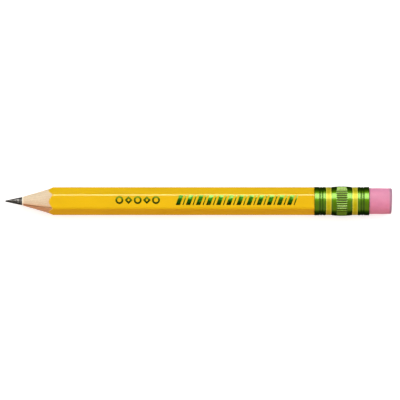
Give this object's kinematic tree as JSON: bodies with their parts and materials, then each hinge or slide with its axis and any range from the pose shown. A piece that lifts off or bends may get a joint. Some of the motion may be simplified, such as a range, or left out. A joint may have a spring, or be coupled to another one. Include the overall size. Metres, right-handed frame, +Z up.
{
  "type": "graphite pencil",
  "caption": "Short hexagonal lacquered graphite pencil, sharpened, with a crimped and fluted metal ferrule and a rubber eraser.",
  "frame": {"origin": "on the surface that the pencil lies on, under its axis, midway between the tip and the eraser's end; the ferrule's crowned band touches the surface", "axes": "+X along the axis from the point to the eraser; +Z up, square to the barrel face that carries the foil; +Y across"},
  "size_m": [0.1016, 0.0078, 0.0077],
  "materials": {
    "graphite": "satin, burnished",
    "wood": "freshly sharpened, matt",
    "glue": "matt",
    "lacquer": "glossy",
    "foil": "metallic green foil",
    "ferrule": "bright green anodised",
    "stripe": "yellow lacquer",
    "eraser": "matt"
  },
  "bodies": {
    "root": {"graphite_core": "graphite", "slat_upper": "wood", "slat_lower": "wood", "glue_film": "glue", "lacquer_coat": "lacquer", "foil_imprint": "foil", "ferrule": "ferrule", "ferrule_stripes": "stripe", "eraser": "eraser"}
  },
  "joints": []
}
